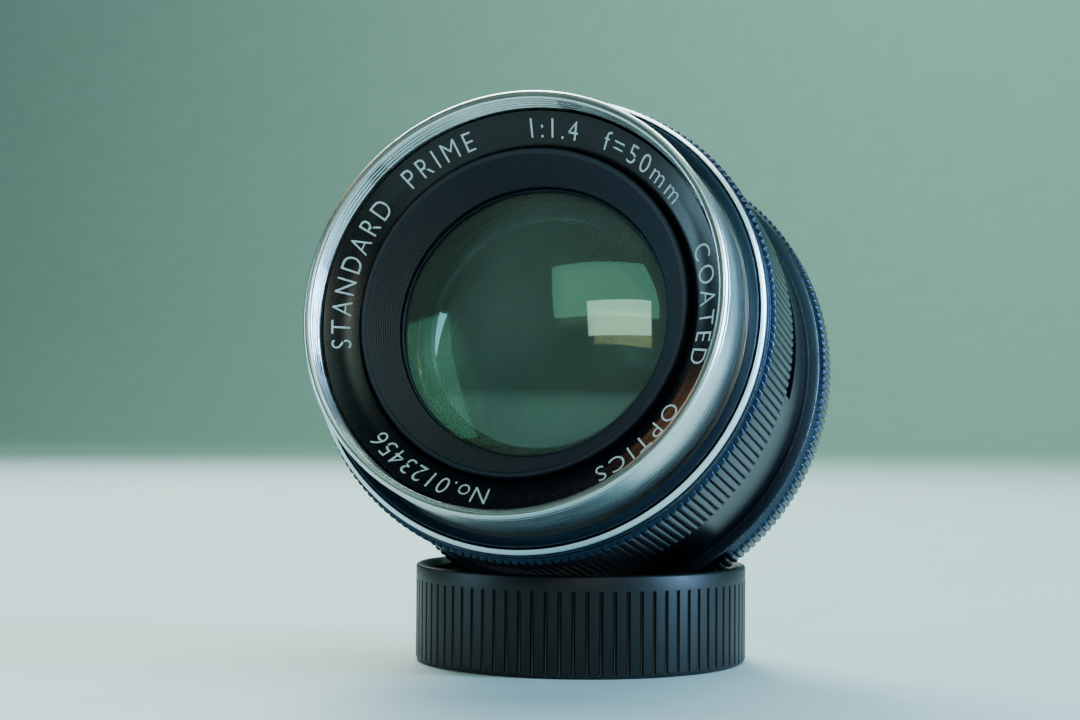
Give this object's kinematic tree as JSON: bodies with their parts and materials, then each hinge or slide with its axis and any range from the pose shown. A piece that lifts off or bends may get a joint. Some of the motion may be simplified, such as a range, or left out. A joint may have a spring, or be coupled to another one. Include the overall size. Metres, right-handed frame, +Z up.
{
  "type": "prime camera lens",
  "caption": "Fixed focal length camera lens with a bright filter ring, knurled focus and aperture rings and a screw mount, leaning on its own open rear cap.",
  "frame": {"origin": "centre of the underside of the rear cap, on the surface it stands on", "axes": "+Z up; the front of the lens faces -Y and points 13 degrees up; +X is to the right as seen from the front"},
  "size_m": [0.0654, 0.0612, 0.0746],
  "materials": {
    "bare_aluminium": "bright satin, fine turned grain",
    "black_anodised": "black anodised, satin",
    "gloss_black": "gloss black enamel with pale engraving",
    "matte_black": "matte anti-reflection black",
    "iris_steel": "blackened spring steel",
    "coated_glass": "polished, anti-reflection coated",
    "brass": "turned, greased",
    "steel": "plain turned steel",
    "black_plastic": "moulded, satin"
  },
  "bodies": {
    "cap": {"rear_cap": "black_plastic"},
    "lens": {"fixed_barrel": "black_anodised", "mount_plate": "black_anodised", "mount_screw_1": "steel", "mount_screw_2": "steel", "mount_screw_3": "steel", "rear_light_shield": "matte_black", "focus_key_left": "brass", "focus_key_right": "brass", "click_ball": "steel", "click_spring": "steel"},
    "focus": {"focus_ring": "black_anodised", "accent_ring": "bare_aluminium", "focus_stop_lug": "steel", "middle_helicoid": "bare_aluminium"},
    "optics": {"filter_ring": "bare_aluminium", "name_ring": "gloss_black", "front_baffle": "matte_black", "front_cell": "matte_black", "front_retainer_ring": "black_anodised", "glass_1": "coated_glass", "glass_2": "coated_glass", "glass_3": "coated_glass", "iris_housing": "black_anodised", "rear_cell": "matte_black", "glass_4": "coated_glass", "glass_5": "coated_glass", "glass_6": "coated_glass", "glass_7": "coated_glass", "rear_spacer_ring": "matte_black", "rear_retainer_ring": "black_anodised", "inner_helicoid": "brass"},
    "aperture": {"aperture_ring": "black_anodised"},
    "iris_drive": {"iris_drive_ring": "black_anodised"},
    "blade_1": {"iris_blade_1": "iris_steel"},
    "blade_2": {"iris_blade_2": "iris_steel"},
    "blade_3": {"iris_blade_3": "iris_steel"},
    "blade_4": {"iris_blade_4": "iris_steel"},
    "blade_5": {"iris_blade_5": "iris_steel"},
    "blade_6": {"iris_blade_6": "iris_steel"},
    "pin": {"stopdown_pin": "steel"},
    "switch": {"auto_manual_switch": "steel"}
  },
  "joints": [
    {"name": "lens_lift", "type": "slide", "parent": "cap", "child": "lens", "axis": [0, 0, 1], "range_m": [0, 0.03]},
    {"name": "focus_turn", "type": "hinge", "parent": "lens", "child": "focus", "pos_m": [0, -0.01544, 0.04358], "axis": [0, 0.9744, -0.225], "range_deg": [0, 215]},
    {"name": "focus_extension", "type": "slide", "parent": "lens", "child": "optics", "axis": [0, -0.9744, 0.225], "range_m": [0, 0.0062]},
    {"name": "aperture_turn", "type": "hinge", "parent": "lens", "child": "aperture", "pos_m": [0, 0.00649, 0.03851], "axis": [0, 0.9744, -0.225], "range_deg": [0, 56]},
    {"name": "iris_drive_turn", "type": "hinge", "parent": "optics", "child": "iris_drive", "pos_m": [0, -0.00102, 0.04025], "axis": [0, 0.9744, -0.225], "range_deg": [0, 56]},
    {"name": "iris_blade_1_turn", "type": "hinge", "parent": "optics", "child": "blade_1", "pos_m": [0.01765, -0.00432, 0.04101], "axis": [0, -0.9744, 0.225], "range_deg": [0, 40.6]},
    {"name": "iris_blade_2_turn", "type": "hinge", "parent": "optics", "child": "blade_2", "pos_m": [0.00882, -0.00037, 0.05579], "axis": [0, -0.9744, 0.225], "range_deg": [0, 40.6]},
    {"name": "iris_blade_3_turn", "type": "hinge", "parent": "optics", "child": "blade_3", "pos_m": [-0.00882, 0.00013, 0.05567], "axis": [0, -0.9744, 0.225], "range_deg": [0, 40.6]},
    {"name": "iris_blade_4_turn", "type": "hinge", "parent": "optics", "child": "blade_4", "pos_m": [-0.01765, -0.0028, 0.04066], "axis": [0, -0.9744, 0.225], "range_deg": [0, 40.6]},
    {"name": "iris_blade_5_turn", "type": "hinge", "parent": "optics", "child": "blade_5", "pos_m": [-0.00882, -0.00573, 0.02565], "axis": [0, -0.9744, 0.225], "range_deg": [0, 40.6]},
    {"name": "iris_blade_6_turn", "type": "hinge", "parent": "optics", "child": "blade_6", "pos_m": [0.00882, -0.00522, 0.02553], "axis": [0, -0.9744, 0.225], "range_deg": [0, 40.6]},
    {"name": "stopdown_pin_press", "type": "slide", "parent": "lens", "child": "pin", "axis": [0, -0.9744, 0.225], "range_m": [0, 0.0028], "stiffness_N_per_m": 300, "springref_m": -0.003},
    {"name": "auto_manual_slide", "type": "hinge", "parent": "lens", "child": "switch", "pos_m": [0, -0.00014, 0.04004], "axis": [0, 0.9744, -0.225], "range_deg": [0, 12]}
  ],
  "couplings": [
    {"joint": "focus_extension", "follows": "focus_turn", "m_per_rad": 0.0016522},
    {"joint": "iris_drive_turn", "follows": "aperture_turn", "ratio": 1},
    {"joint": "iris_blade_1_turn", "follows": "aperture_turn", "ratio": 0.725},
    {"joint": "iris_blade_2_turn", "follows": "aperture_turn", "ratio": 0.725},
    {"joint": "iris_blade_3_turn", "follows": "aperture_turn", "ratio": 0.725},
    {"joint": "iris_blade_4_turn", "follows": "aperture_turn", "ratio": 0.725},
    {"joint": "iris_blade_5_turn", "follows": "aperture_turn", "ratio": 0.725},
    {"joint": "iris_blade_6_turn", "follows": "aperture_turn", "ratio": 0.725}
  ]
}
